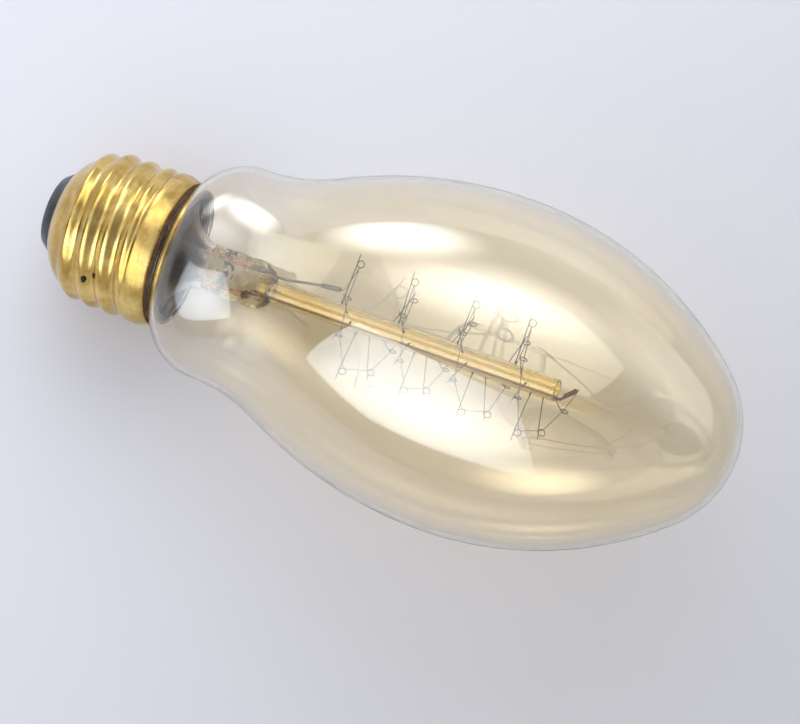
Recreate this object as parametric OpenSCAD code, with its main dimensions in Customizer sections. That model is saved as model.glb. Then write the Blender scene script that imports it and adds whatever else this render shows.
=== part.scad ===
// Decorative filament lamp with an Edison screw cap, lying on its side as it rests on a table.
// Every piece is drawn about the lamp's own axis: z runs from the centre contact to the glass tip,
// x points to the face side of the stem and y across the press. in_lamp() then lays it down.

/* [Glass envelope] */
// Length from the centre contact to the tip of the glass
overall_len = 124.7; // [119:0.1:134]
// Widest diameter of the glass
belly_d = 57.2; // [54:0.2:62]
// Where the glass is widest, measured from the centre contact
belly_z = 78.7; // [75:0.1:82]
// Radius of the blunt nose at the tip
nose_r = 17.8; // [14:0.1:21]
// Diameter of the waist between belly and shoulder
neck_d = 36.6; // [35:0.2:39]
// Where the waist is narrowest
waist_z = 33.5; // [32:0.1:35]
// Radius of the hollow curve of the waist
waist_r = 31.3; // [26:0.1:37]
// Radius of the shoulder that draws the glass in to the cap
shoulder_r = 9.2; // [8.6:0.1:9.8]
// Diameter of the neck end that sits in the cap
seal_d = 22.9; // [22.1:0.1:23.3]
// Thickness of the glass
glass_wall = 0.8; // [0.5:0.05:1.2]

/* [Screw cap] */
// Diameter over the crests of the rolled thread
crest_d = 26.4; // [26.05:0.05:26.45]
// Depth of the rolled thread
thread_depth = 0.75; // [0.6:0.05:1.1]
// Pitch of the thread, seven turns to the inch
thread_pitch = 3.629; // [3.4:0.001:3.8]
// Place of the crest that faces the viewer
crest_z = 11.9; // [11:0.1:12.8]
// Where the rolled thread ends and the plain skirt begins
thread_end_z = 19.6; // [19:0.1:20]
// Height of the open rim of the cap
rim_z = 23.9; // [23.4:0.1:24.6]
// Diameter of the skirt at its rim
rim_d = 25.2; // [24.9:0.1:25.5]
// Thickness of the brass sheet
shell_wall = 0.3; // [0.2:0.02:0.4]
// Radius of the dome that turns the shell in towards its end
lip_r = 8.9; // [8.4:0.1:9.6]
// Height of the turned-in edge of the shell
lip_z = 3.5; // [3.3:0.1:3.9]
// Height where the dome starts
dome_z = 11.5; // [11:0.1:11.6]
// Diameter of the flat end of the insulator
insulator_end_d = 12.6; // [11.6:0.1:13]
// Height of the flat end of the insulator
insulator_end_z = 1.5; // [1.3:0.05:1.8]
// Diameter of the centre contact plate
contact_d = 8.6; // [8:0.1:9.8]
// Thickness of the centre contact plate
contact_t = 0.5; // [0.4:0.05:0.7]
// Diameter of the solder dome on the contact
solder_d = 4; // [3.2:0.1:5]
// Diameter of the flat crown of the solder dome, where the holder's spring bears
solder_flat_d = 1.6; // [1:0.1:2.4]
// Width of the weld bead on the side of the shell
weld_d = 0.8; // [0.5:0.05:1.2]
// Angle of the weld bead round the shell
weld_angle = 46; // [20:1:70]
// Distance of the weld bead from the crest of the thread
weld_rise = 0.8; // [0.6:0.05:1]

/* [Stem] */
// Height where the flare narrows to the stem tube
stem_z = 30.6; // [29.8:0.1:31.6]
// Diameter of the stem tube
stem_d = 8; // [7.6:0.1:8.5]
// Thickness of the stem glass
stem_wall = 0.9; // [0.6:0.05:1.1]
// Height of the round end of the press
press_end_z = 42.3; // [41.4:0.1:44.2]
// Thickness of the flattened press
press_t = 3.5; // [3.2:0.1:4.3]
// Diameter of the exhaust tube
exhaust_d = 3.3; // [3:0.1:3.5]
// Bore of the exhaust tube
exhaust_bore = 1.9; // [1.6:0.1:2.1]
// Height of the melted-off end of the exhaust tube
exhaust_tip_z = 11.2; // [10.2:0.1:14]

/* [Arbor tube] */
// Outer diameter of the gold-tinted centre tube
arbor_d = 3.75; // [3.55:0.05:4]
// Bore of the centre tube
arbor_bore = 2.8; // [2.65:0.05:2.9]
// Height where the centre tube is seated in the press
arbor_seat_z = 39.8; // [39.4:0.1:40.4]
// Height of the open end of the centre tube
arbor_end_z = 93.1; // [92.8:0.1:94.6]
// Sideways place of the tube's foot in the press
arbor_shift = 0.3; // [0.2:0.05:0.4]
// Lean of the centre tube away from the lamp axis
arbor_lean = 1; // [0:0.1:1.5]

/* [Filament mount] */
// Number of support wires
support_count = 27; // [21:1:27]
// Rise of the filament in one turn round the tube
turn_rise = 10.4; // [9.8:0.05:10.45]
// Height of the first support wire
first_support_z = 53.7; // [53:0.1:53.9]
// Lean of the support wires towards the tip
support_lean = 3; // [0:0.5:5]
// Distance from the tube axis to the pigtail loops
loop_reach = 9.2; // [8.4:0.1:9.9]
// Inner radius of a pigtail loop
loop_inner_r = 0.5; // [0.44:0.02:0.58]
// Straight tail beyond the pigtail loop
tail_len = 1.65; // [1:0.05:2.1]
// Diameter of the support wire
support_d = 0.2; // [0.16:0.01:0.24]
// Diameter of the bead that joins a support wire to the tube
bead_d = 0.5; // [0.4:0.02:0.6]
// Diameter of the filament
filament_d = 0.12; // [0.08:0.01:0.14]
// How far hand-set support wires stray, in degrees
hand_scatter = 3; // [0:0.5:4]

/* [Lead wires] */
// Diameter of the inner lead wires
lead_d = 0.45; // [0.35:0.05:0.5]
// Diameter of the copper outer leads
outer_lead_d = 0.4; // [0.3:0.05:0.5]
// Diameter of the copper-clad seals in the press
seal_wire_d = 0.6; // [0.5:0.05:0.7]
// Height of the near clamp's foot above the press
near_lead_rise = 7.4; // [5:0.1:7.8]
// Sideways place of the lead to the near clamp
near_lead_y = -2.25; // [-2.55:0.05:-2.2]
// Sideways place of the seal of the lead to the far clamp
far_lead_y = 2.35; // [2.25:0.05:2.55]
// Length of the clamp on the near lead
near_clamp_len = 3.2; // [2.6:0.1:3.7]
// Length of the clamp on the far lead
far_clamp_len = 2.1; // [1.8:0.1:2.5]
// Diameter of the clamps
clamp_d = 0.8; // [0.7:0.05:0.9]

/* [Hidden] */
$fn = 64;

// Clearances between pieces that are not fused
cement_gap = 0.05;
wire_gap = 0.02;
seat_gap = 0.02;
root_gap = 0.05;

// Glass profile: two long arcs meet at the widest place, and each is tangent to the curve beyond it
belly_r = belly_d / 2;
neck_r = neck_d / 2;
seal_r = seal_d / 2;
// The nose circle lies on the lamp axis, inside the front arc
nose_c = [0, overall_len - nose_r];
nose_run = nose_c[1] - belly_z;
front_arc_r = (pow(belly_r, 2) + pow(nose_run, 2) - pow(nose_r, 2)) / (2 * (belly_r - nose_r));
front_c = [belly_r - front_arc_r, belly_z];
nose_angle = atan2(nose_run, -front_c[0]);
// The waist circle lies outside the back arc
waist_c = [neck_r + waist_r, waist_z];
waist_run = belly_z - waist_z;
waist_gain = waist_c[0] - belly_r;
back_arc_r = (pow(waist_gain, 2) + pow(waist_run, 2) - pow(waist_r, 2)) / (2 * (belly_r - neck_r));
back_c = [belly_r - back_arc_r, belly_z];
waist_angle = atan2(waist_run, waist_c[0] - back_c[0]);
shoulder_c = [neck_r - shoulder_r, waist_z];
seal_depth = 1.5;
seal_end_z = rim_z - seal_depth;

// Screw shell
crest_r = crest_d / 2;
root_r = crest_r - thread_depth;
rim_r = rim_d / 2;
dome_c = [root_r - lip_r, dome_z];
skirt_z = thread_end_z + thread_pitch * 0.3;
shell_sides = 36;
rows_per_pitch = 8;
flat_loss = 1 - cos(180 / shell_sides);
insulator_top_z = 7.6;
insulator_well = 1.6;
well_r = 4;
lead_hole_r = outer_lead_d / 2 + wire_gap;
// The solder dome takes the lamp to its full length
solder_h = insulator_end_z - contact_t;

// The lamp rests on a thread crest and on the belly: the tilt is that of their common tangent
face_turn = 3;
down_angle = 180 - face_turn;
rest_crest_z = crest_z + thread_pitch * (down_angle / 360 - 2);
rest_run = belly_z - rest_crest_z;
rest_drop = crest_r - back_c[0];
tilt = atan2(rest_run, rest_drop) - acos(back_arc_r / norm([rest_run, rest_drop]));
rest_height = back_arc_r - (belly_z * sin(tilt) - back_c[0] * cos(tilt));
// Ends of the lamp along the table, for an origin under the middle of it
tail_x = min(-solder_flat_d / 2 * sin(tilt), solder_h * cos(tilt) - contact_d / 2 * sin(tilt));
tip_x = nose_c[1] * cos(tilt) + nose_r;
middle_x = (tail_x + tip_x) / 2;

// Stem
stem_r = stem_d / 2;
flare_r = seal_r - glass_wall;
flare_arc = flare_r - stem_r;
flare_rim_z = stem_z - flare_arc;
press_step = 3.2;
seal_wire_z = [stem_z + 3, arbor_seat_z - 2.4];
arbor_r = arbor_d / 2;
lead_in_bore = (arbor_bore - lead_d) / 2 - 0.05;

// Outer leads: one runs beside the exhaust tube to the contact, one goes out to the weld on the shell
weld_z = crest_z + thread_pitch * weld_angle / 360 + weld_rise;
weld_turn = 360 * weld_rise / thread_pitch;
weld_r = root_r + thread_depth * (0.5 + 0.5 * cos(weld_turn));
weld_slope = atan(thread_depth * PI / thread_pitch * sin(weld_turn));
weld_reach = (weld_r - shell_wall / cos(weld_slope)) * (1 - flat_loss) - outer_lead_d - 0.05;
weld_side = [cos(weld_angle), sin(weld_angle), 0];
inside_r = root_r - shell_wall - outer_lead_d - 0.5;
beside_exhaust = -(exhaust_d + outer_lead_d) / 2 - 0.8;
side_lead_path = [
    [0, far_lead_y, seal_wire_z[0]], [0, far_lead_y, flare_rim_z + 2],
    [0, far_lead_y + 1, flare_rim_z - 1.5],
    inside_r * [0.15, 0.55, 0] + [0, 0, seal_end_z - 2.5],
    inside_r * 0.92 * weld_side + [0, 0, weld_z + 4],
    inside_r * weld_side + [0, 0, weld_z + 1.2],
    weld_reach * weld_side + [0, 0, weld_z]
];
centre_lead_path = [
    [0, near_lead_y, seal_wire_z[0]], [0, near_lead_y, flare_rim_z + 2],
    [0, beside_exhaust, flare_rim_z - 2], [0, beside_exhaust, exhaust_tip_z + 2],
    [0, beside_exhaust / 2, exhaust_tip_z - 2], [0, 0, insulator_top_z + 0.4],
    [0, 0, insulator_end_z - contact_t + seat_gap]
];

// The centre tube leans, and all that it carries leans with it
function arbor_point(p) = let (h = p[2] - arbor_seat_z)
    [p[0], arbor_shift + p[1] * cos(arbor_lean) - h * sin(arbor_lean),
     arbor_seat_z + p[1] * sin(arbor_lean) + h * cos(arbor_lean)];
function unit(v) = v / norm(v);

// Inner leads and the clamps at their ends
near_clamp_from = [0, near_lead_y - 1.3, press_end_z + near_lead_rise];
near_clamp_way = unit([0, -0.4, 3.3]);
near_lead_path = [[0, near_lead_y, seal_wire_z[1]], [0, near_lead_y, press_end_z + 0.5], near_clamp_from];
far_seal_top = [0, far_lead_y, seal_wire_z[1]];
far_bend = far_seal_top + [0, 0, lead_d];
far_entry = arbor_point([0, lead_in_bore, arbor_seat_z - 0.7]);
far_clamp_from = arbor_point([0, 0.4, arbor_end_z + 1.6]);
far_clamp_way = unit([0, -1.64, 1.6]);
far_lead_path = [
    far_seal_top, far_bend, far_entry,
    arbor_point([0, lead_in_bore, arbor_seat_z + 2]), arbor_point([0, lead_in_bore, arbor_end_z]),
    arbor_point([0, lead_in_bore + 0.2, arbor_end_z + 0.5]),
    arbor_point([0, lead_in_bore, arbor_end_z + 1.1]),
    far_clamp_from
];
clamp_hole = 0.55;

// Support wires: the angles of one turn are as the fitter set them, and each ends in a pigtail loop
turn_angles = [-80, -20, 25, 68, 128, 165, 222];
per_turn = len(turn_angles);
support_r = support_d / 2;
loop_r = loop_inner_r + support_r;
loop_pitch = support_d * 1.15;
curl_steps = 8;
// The filament bends round the side of the loop that is nearer the tube, by at most 30 degrees each way
bend_reach = (support_d + filament_d) / 2 / cos(30) + wire_gap * 2;
function plain_angle(i) = turn_angles[i % per_turn] + 360 * floor(i / per_turn);
function angle_of(i) = plain_angle(i) + hand_scatter * sin(137 * i);
function height_of(i) = first_support_z + turn_rise * (plain_angle(i) - turn_angles[0]) / 360;
function lean_of(i) = support_lean + hand_scatter * sin(83 * i + 40);
// A point of support wire i from its place along the wire, along the lamp and round the tube
function on_support(i, along, rise, across) =
    let (a = angle_of(i), l = lean_of(i))
    let (out = along * cos(l) - rise * sin(l), up = along * sin(l) + rise * cos(l))
    arbor_point([out * cos(a) - across * sin(a), out * sin(a) + across * cos(a), height_of(i) + up]);
pigtail_d = concat([bead_d, bead_d * 0.85], [for (k = [0:curl_steps + 2]) support_d]);
function pigtail(i) = concat(
    [for (h = [root_gap, bead_d * 0.4, bead_d * 0.8]) on_support(i, arbor_r + h, 0, -loop_pitch / 2)],
    [for (k = [0:curl_steps]) let (a = 360 * k / curl_steps)
        on_support(i, loop_reach + loop_r * sin(a), loop_r * (1 - cos(a)),
                   loop_pitch * (k / curl_steps - 0.5))],
    [on_support(i, loop_reach + tail_len, 0, loop_pitch / 2)]
);
near_clamp_tip = near_clamp_from + near_clamp_len * near_clamp_way;
far_clamp_tip = far_clamp_from + far_clamp_len * far_clamp_way;
filament_path = concat(
    [near_clamp_tip - clamp_hole * near_clamp_way, near_clamp_tip + clamp_hole * near_clamp_way],
    // At the first and the last loop it bends further, towards its clamp
    [for (i = [0:support_count - 1]) for (a = i == 0 ? [-60, 0] : i == support_count - 1 ? [0, 60] : [0])
        on_support(i, loop_reach - loop_r + bend_reach * cos(a), loop_r,
                   loop_pitch / 4 + bend_reach * sin(a))],
    [far_clamp_tip + clamp_hole * far_clamp_way, far_clamp_tip - clamp_hole * far_clamp_way]
);

// An arc in a profile, round c, from angle a0 to a1. side -1 mirrors it, so that it bulges inwards
function arc(c, r, a0, a1, n, side = 1) =
    [for (i = [0:n]) let (a = a0 + (a1 - a0) * i / n) [c[0] + side * r * cos(a), c[1] + r * sin(a)]];

// A round wire swept along points, of one diameter or of one for each point
function headings(p) = [for (i = [0:len(p) - 1])
    unit((i < len(p) - 1 ? unit(p[i + 1] - p[i]) : [0, 0, 0]) + (i > 0 ? unit(p[i] - p[i - 1]) : [0, 0, 0]))];
function carried(t, n, i = 0) = i == len(t) ? [] :
    let (m = unit(n - (n * t[i]) * t[i])) concat([m], carried(t, m, i + 1));
module wire(p, d, sides = 6) {
    t = headings(p);
    n = carried(t, [0.31, 0.67, 0.12]);
    count = len(p);
    rings = [for (i = [0:count - 1], j = [0:sides - 1])
        let (b = cross(t[i], n[i]), a = 360 * j / sides, r = (is_list(d) ? d[i] : d) / 2)
        p[i] + r * (cos(a) * n[i] + sin(a) * b)];
    walls = [for (i = [0:count - 2], j = [0:sides - 1])
        let (k = (j + 1) % sides, a = i * sides, b = a + sides)
        each [[a + j, b + j, b + k], [a + j, b + k, a + k]]];
    foot = [for (j = [1:sides - 2]) [0, j, j + 1]];
    head = [for (j = [1:sides - 2]) let (a = (count - 1) * sides) [a, a + j + 1, a + j]];
    polyhedron(rings, concat(walls, foot, head), convexity = 6);
}
// Turns the z axis along v at p
module aimed(p, v) {
    translate(p) rotate([0, acos(v[2] / norm(v)), atan2(v[1], v[0])]) children();
}
// A straight hole or rod between two points
module rod(p, q, d) {
    aimed(p, q - p) cylinder(d = d, h = norm(q - p), $fn = 24);
}

module in_lamp() {
    translate([-middle_x, 0, rest_height]) rotate([0, 90 - tilt, 0])
        rotate([0, 0, 180 + face_turn]) children();
}
module on_arbor() {
    translate([0, arbor_shift, arbor_seat_z]) rotate([arbor_lean, 0, 0]) translate([0, 0, -arbor_seat_z])
        children();
}

// Cap
function smooth(x) = let (c = max(0, min(1, x))) c * c * (3 - 2 * c);
// Radius of the shell under the thread: a dome at the contact end, then straight
function dome_angle(z) = z < dome_z ? asin((dome_z - z) / lip_r) : 0;
function shell_row(z) = let (a = dome_angle(z)) [z, dome_c[0] + lip_r * cos(a), [-sin(a), cos(a)]];
dome_rows = 6;
thread_from_z = 7.6;
// Rows of the shell from the turned-in edge to the rim: height, root radius and outward direction
function shell_rows() = concat(
    [for (i = [0:dome_rows - 1]) let (a = dome_angle(lip_z), b = dome_angle(thread_from_z))
        shell_row(dome_z - lip_r * sin(a + (b - a) * i / dome_rows))],
    [for (z = [thread_from_z:thread_pitch / rows_per_pitch:skirt_z]) shell_row(z)],
    [[skirt_z + 0.4, crest_r, [0, 1]], [rim_z - 0.3, rim_r, [0, 1]], [rim_z, rim_r - 0.1, [0, 1]]]
);
// The rolled thread rises out of the dome over this height
thread_fade_z = [5.8, 10];
// How far the rolled thread stands out of the root at height z and angle a
function thread_gain(z, a) =
    let (rise = smooth((z - thread_fade_z[0]) / (thread_fade_z[1] - thread_fade_z[0])))
    let (full = smooth((z - thread_end_z) / (skirt_z - thread_end_z)))
    let (wave = 0.5 + 0.5 * cos(360 * (z - crest_z) / thread_pitch - a))
    z > skirt_z + 0.1 ? 0 : thread_depth * (rise * wave * (1 - full) + full);
function shell_point(row, a, depth) =
    let (z = row[0] - depth * row[2][0], r = row[1] + thread_gain(row[0], a) - depth * row[2][1])
    [r * cos(a), r * sin(a), z];
module screw_shell() {
    rows = shell_rows();
    n = len(rows);
    s = shell_sides;
    sheet = [for (depth = [0, shell_wall], i = [0:n - 1], j = [0:s - 1])
        shell_point(rows[i], 360 * j / s, depth)];
    inner = n * s;
    skin = [for (i = [0:n - 2], j = [0:s - 1]) let (k = (j + 1) % s, a = i * s, b = a + s)
        each [[a + j, b + j, b + k], [a + j, b + k, a + k],
              [inner + a + j, inner + b + k, inner + b + j], [inner + a + j, inner + a + k, inner + b + k]]];
    edges = [for (j = [0:s - 1]) let (k = (j + 1) % s, b = (n - 1) * s)
        each [[j, k, inner + k], [j, inner + k, inner + j],
              [b + j, inner + b + k, b + k], [b + j, inner + b + j, inner + b + k]]];
    in_lamp() color("gold") polyhedron(sheet, concat(skin, edges), convexity = 10);
}
module cap_insulator() {
    // It fills the dome of the shell, a sheet and a cement joint smaller
    seat_arc = lip_r * (1 - flat_loss) - shell_wall - 3 * cement_gap;
    seat_c = [dome_c[0] * (1 - flat_loss), dome_z];
    edge = arc(seat_c, seat_arc, -dome_angle(lip_z), -dome_angle(insulator_top_z), 8);
    in_lamp() color("darkslategray") rotate_extrude() polygon(concat(
        [[lead_hole_r, insulator_end_z], [insulator_end_d / 2 - 0.4, insulator_end_z],
         [insulator_end_d / 2, insulator_end_z + 0.4], [edge[0][0], lip_z - 0.2]],
        edge,
        [[well_r + 3, insulator_top_z], [well_r, insulator_top_z - insulator_well],
         [lead_hole_r, insulator_top_z - insulator_well]]
    ));
}
module centre_contact() {
    edge = contact_t * 0.4;
    low = insulator_end_z - contact_t;
    in_lamp() color("goldenrod") rotate_extrude() polygon([
        [lead_hole_r, low], [contact_d / 2 - edge, low], [contact_d / 2, low + edge],
        [contact_d / 2, insulator_end_z], [lead_hole_r, insulator_end_z]
    ]);
}
module centre_solder() {
    flat_r = solder_flat_d / 2;
    centre_z = (pow(solder_d / 2, 2) + pow(solder_h, 2) - pow(flat_r, 2)) / (2 * solder_h);
    in_lamp() color("silver") intersection() {
        translate([0, 0, centre_z]) sphere(r = norm([flat_r, centre_z]));
        cylinder(d = solder_d + 1, h = solder_h);
    }
}
module side_weld() {
    // It sits square on the slope of the thread
    seat = [weld_r, 0, weld_z] + (seat_gap + 0.03) * [cos(weld_slope), 0, sin(weld_slope)];
    in_lamp() color("black") rotate([0, 0, weld_angle]) translate(seat)
        rotate([0, 90 - weld_slope, 0]) intersection() {
            translate([0, 0, -weld_d * 0.4]) sphere(d = weld_d * 1.3);
            cylinder(d = weld_d * 2, h = weld_d);
        }
}
module basing_cement() {
    low_z = skirt_z + 0.6;
    top_z = rim_z - 0.4;
    // The skirt tapers from the last crest to the rim
    function skirt_inner(z) = (crest_r + (rim_r - crest_r) * (z - skirt_z - 0.4) / (rim_z - 0.7 - skirt_z)
        - shell_wall) * (1 - flat_loss) - cement_gap;
    in_lamp() color("sienna") rotate_extrude() polygon([
        [seal_r + cement_gap, low_z + 0.6], [skirt_inner(low_z), low_z], [skirt_inner(top_z), top_z],
        [skirt_inner(top_z) - 0.15, rim_z - 0.1], [seal_r + cement_gap, rim_z + 0.15]
    ]);
}

// Glass
// Outline of the glass, drawn in by wall, from the neck end to the tip
function glass_line(wall) =
    let (end_a = acos((seal_r - shoulder_c[0] - wall) / (shoulder_r - wall)))
    concat(
        [[seal_r - wall, seal_end_z]],
        arc(shoulder_c, shoulder_r - wall, -end_a, 0, 10),
        arc(waist_c, waist_r + wall, 0, waist_angle, 10, -1),
        arc(back_c, back_arc_r - wall, -waist_angle, 0, 16),
        arc(front_c, front_arc_r - wall, 0, nose_angle, 20),
        arc(nose_c, nose_r - wall, nose_angle, 90, 14)
    );
module glass_envelope() {
    outer = glass_line(0);
    inner = glass_line(glass_wall);
    in_lamp() color("wheat", 0.4) rotate_extrude($fn = 96)
        polygon(concat(outer, [for (i = [len(inner) - 1:-1:0]) inner[i]]));
}
module stem_flare() {
    c = [flare_r, stem_z];
    in_lamp() color("lightgray", 0.6) rotate_extrude() polygon(concat(
        arc(c, flare_arc, 0, -90, 12, -1), arc(c, flare_arc + stem_wall, -90, 0, 12, -1)
    ));
}
// The stem's glass round a lead, as a hole for the outer lead, its seal and the inner lead
module lead_channel(y, end_z) {
    from = [0, y, seal_wire_z[0]];
    to = [0, y, seal_wire_z[1]];
    rod([0, y, stem_z - 1], from, outer_lead_d + 2 * wire_gap);
    rod(from, to, seal_wire_d + 2 * wire_gap);
    rod(to, [0, y, end_z], lead_d + 2 * wire_gap);
}
// The bent part of the far lead's channel
module bent_channel(points) {
    for (i = [0:len(points) - 2]) {
        rod(points[i], points[i + 1], lead_d + 2 * wire_gap);
        translate(points[i]) sphere(d = lead_d + 4 * wire_gap, $fn = 24);
    }
}
// The press is the round stem pinched flat: one outline turned about the axis, one seen from the side
module stem_press() {
    round_end = 3;
    mouth_z = stem_z + press_step + 0.4 - exhaust_bore / 2;
    in_lamp() color("khaki", 0.6) difference() {
        intersection() {
            rotate_extrude() polygon(concat([[0, stem_z], [stem_r, stem_z]],
                arc([stem_r - round_end, press_end_z - round_end], round_end, 0, 90, 8), [[0, press_end_z]]));
            rotate([90, 0, 0]) translate([0, 0, -stem_d]) linear_extrude(2 * stem_d) polygon([
                [-stem_r, stem_z], [stem_r, stem_z], [press_t / 2, stem_z + press_step],
                [press_t / 2, press_end_z + 1], [-press_t / 2, press_end_z + 1],
                [-press_t / 2, stem_z + press_step]
            ]);
        }
        on_arbor() translate([0, 0, arbor_seat_z]) cylinder(d = arbor_d + 2 * seat_gap, h = 6);
        // The exhaust channel opens on the face of the press
        translate([0, 0, stem_z - 1]) cylinder(d = exhaust_bore, h = mouth_z + 1 - stem_z + exhaust_bore / 2);
        translate([0, 0, mouth_z]) rotate([0, 90, 0]) cylinder(d = exhaust_bore, h = stem_d);
        lead_channel(near_lead_y, press_end_z + 1);
        lead_channel(far_lead_y, far_bend[2]);
        bent_channel([far_bend, far_entry, far_lead_path[3]]);
    }
}
module exhaust_tube() {
    tip_c = exhaust_tip_z + exhaust_d / 2;
    in_lamp() color("lightgray", 0.6) rotate_extrude() polygon(concat(
        [[exhaust_bore / 2, stem_z]], arc([0, tip_c + 0.6], exhaust_bore / 2, 0, -90, 6),
        arc([0, tip_c], exhaust_d / 2, -90, 0, 6), [[exhaust_d / 2, stem_z]]
    ));
}
module arbor_tube() {
    length = arbor_end_z - arbor_seat_z;
    in_lamp() on_arbor() color("darkgoldenrod") translate([0, 0, arbor_seat_z]) difference() {
        cylinder(d = arbor_d, h = length);
        translate([0, 0, -1]) cylinder(d = arbor_bore, h = length + 2);
    }
}

// Leads
module side_outer_lead() { in_lamp() color("chocolate") wire(side_lead_path, outer_lead_d); }
module centre_outer_lead() { in_lamp() color("chocolate") wire(centre_lead_path, outer_lead_d); }
module seal_wire(y) {
    in_lamp() color("coral") rod([0, y, seal_wire_z[0]], [0, y, seal_wire_z[1]], seal_wire_d);
}
module side_seal_wire() { seal_wire(far_lead_y); }
module centre_seal_wire() { seal_wire(near_lead_y); }
module near_lead() { in_lamp() color("dimgray") wire(near_lead_path, lead_d); }
module far_lead() { in_lamp() color("dimgray") wire(far_lead_path, lead_d); }
// A sleeve crimped over the end of a lead, with a hole in its tip for the filament
module clamp(path, way, len) {
    from = path[len(path) - 1];
    in_lamp() color("dimgray") difference() {
        aimed(from, way) {
            cylinder(d = clamp_d, h = len, $fn = 24);
            sphere(d = clamp_d, $fn = 24);
        }
        aimed(from + (len - clamp_hole - wire_gap) * way, way)
            cylinder(d = filament_d + 2 * wire_gap, h = len, $fn = 16);
        rod(path[len(path) - 2], from, lead_d + 2 * wire_gap);
    }
}
module near_clamp() { clamp(near_lead_path, near_clamp_way, near_clamp_len); }
module far_clamp() { clamp(far_lead_path, far_clamp_way, far_clamp_len); }

// Filament mount
module support_wires(turn) {
    in_lamp() color("dimgray") for (i = [0:support_count - 1])
        if (floor((i + 1) / per_turn) == turn - 1) wire(pigtail(i), pigtail_d);
}
module support_wires_turn_1() { support_wires(1); }
module support_wires_turn_2() { support_wires(2); }
module support_wires_turn_3() { support_wires(3); }
module support_wires_turn_4() { support_wires(4); }
module filament() { in_lamp() color("dimgray") wire(filament_path, filament_d); }

screw_shell();
cap_insulator();
centre_contact();
centre_solder();
side_weld();
basing_cement();
glass_envelope();
stem_flare();
stem_press();
exhaust_tube();
arbor_tube();
side_outer_lead();
centre_outer_lead();
side_seal_wire();
centre_seal_wire();
near_lead();
far_lead();
near_clamp();
far_clamp();
support_wires_turn_1();
support_wires_turn_2();
support_wires_turn_3();
support_wires_turn_4();
filament();
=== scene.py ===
# A decorative filament lamp with a screw cap, lying on a pale table.
import math

import bmesh
import bpy
from mathutils import Matrix, Vector, noise


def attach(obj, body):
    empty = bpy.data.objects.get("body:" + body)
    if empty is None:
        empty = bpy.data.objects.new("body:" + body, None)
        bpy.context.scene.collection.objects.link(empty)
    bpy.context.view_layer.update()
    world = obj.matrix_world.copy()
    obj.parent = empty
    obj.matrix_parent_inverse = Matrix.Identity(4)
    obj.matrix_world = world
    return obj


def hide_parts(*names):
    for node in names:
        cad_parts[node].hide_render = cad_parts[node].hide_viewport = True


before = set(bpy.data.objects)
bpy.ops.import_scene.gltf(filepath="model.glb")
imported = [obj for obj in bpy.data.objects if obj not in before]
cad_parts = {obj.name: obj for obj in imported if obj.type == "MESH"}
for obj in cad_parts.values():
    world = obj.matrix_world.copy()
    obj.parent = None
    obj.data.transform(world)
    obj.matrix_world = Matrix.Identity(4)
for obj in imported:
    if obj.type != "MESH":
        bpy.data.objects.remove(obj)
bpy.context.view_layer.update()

# Sizes of the lamp in millimetres, along its own axis from the centre contact to the tip
overall_len, belly_d, belly_z, nose_r = 124.7, 57.2, 78.7, 17.8
neck_d, waist_z, waist_r, shoulder_r = 36.6, 33.5, 31.3, 9.2
seal_d, glass_wall = 22.9, 0.8
crest_d, thread_depth, thread_pitch, crest_z, thread_end_z = 26.4, 0.75, 3.629, 11.9, 19.6
rim_z, rim_d, shell_wall, lip_r, lip_z, dome_z = 23.9, 25.2, 0.3, 8.9, 3.5, 11.5
insulator_end_d, insulator_end_z, insulator_top_z, contact_d, contact_t = 12.6, 1.5, 7.6, 8.6, 0.5
solder_d, solder_flat_d, weld_d, weld_angle, weld_rise = 4, 1.6, 0.8, 46, 0.8
stem_z, stem_d, stem_wall, press_end_z, press_t = 30.6, 8, 0.9, 42.3, 3.5
exhaust_d, exhaust_bore, exhaust_tip_z = 3.3, 1.9, 11.2
arbor_d, arbor_bore, arbor_seat_z, arbor_end_z = 3.75, 2.8, 39.8, 93.1
arbor_shift, arbor_lean = 0.3, math.radians(1)
support_count, turn_rise, first_support_z, support_lean = 27, 10.4, 53.7, 3
loop_reach, loop_inner_r, tail_len, support_d = 9.2, 0.5, 1.65, 0.2
bead_d, filament_d, hand_scatter = 0.5, 0.12, 3
lead_d, outer_lead_d, seal_wire_d, near_lead_rise = 0.45, 0.4, 0.6, 7.4
near_lead_y, far_lead_y, near_clamp_len, far_clamp_len, clamp_d = -2.25, 2.35, 3.2, 2.1, 0.8
cement_gap, wire_gap, root_gap, face_turn = 0.05, 0.02, 0.05, 3
# Only in the visual model: where the thread starts to rise out of the dome, over what length, and how much of
# their width in the solid the support wires are drawn at
fade_from_z, fade_len, wire_share = 4.6, 4.0, 0.8

belly_r, neck_r, seal_r, stem_r, arbor_r = belly_d / 2, neck_d / 2, seal_d / 2, stem_d / 2, arbor_d / 2
crest_r, rim_r = crest_d / 2, rim_d / 2
root_r = crest_r - thread_depth
nose_c = (0, overall_len - nose_r)
nose_run = nose_c[1] - belly_z
front_arc_r = (belly_r ** 2 + nose_run ** 2 - nose_r ** 2) / (2 * (belly_r - nose_r))
front_c = (belly_r - front_arc_r, belly_z)
nose_angle = math.atan2(nose_run, -front_c[0])
waist_c = (neck_r + waist_r, waist_z)
waist_run = belly_z - waist_z
waist_gain = waist_c[0] - belly_r
back_arc_r = (waist_gain ** 2 + waist_run ** 2 - waist_r ** 2) / (2 * (belly_r - neck_r))
back_c = (belly_r - back_arc_r, belly_z)
waist_angle = math.atan2(waist_run, waist_c[0] - back_c[0])
shoulder_c = (neck_r - shoulder_r, waist_z)
seal_end_z = rim_z - 1.5
dome_c = (root_r - lip_r, dome_z)
dome_turn = math.asin((dome_z - lip_z) / lip_r)
skirt_z = thread_end_z + thread_pitch * 0.3
solder_h = insulator_end_z - contact_t
flare_r = seal_r - glass_wall
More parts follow.
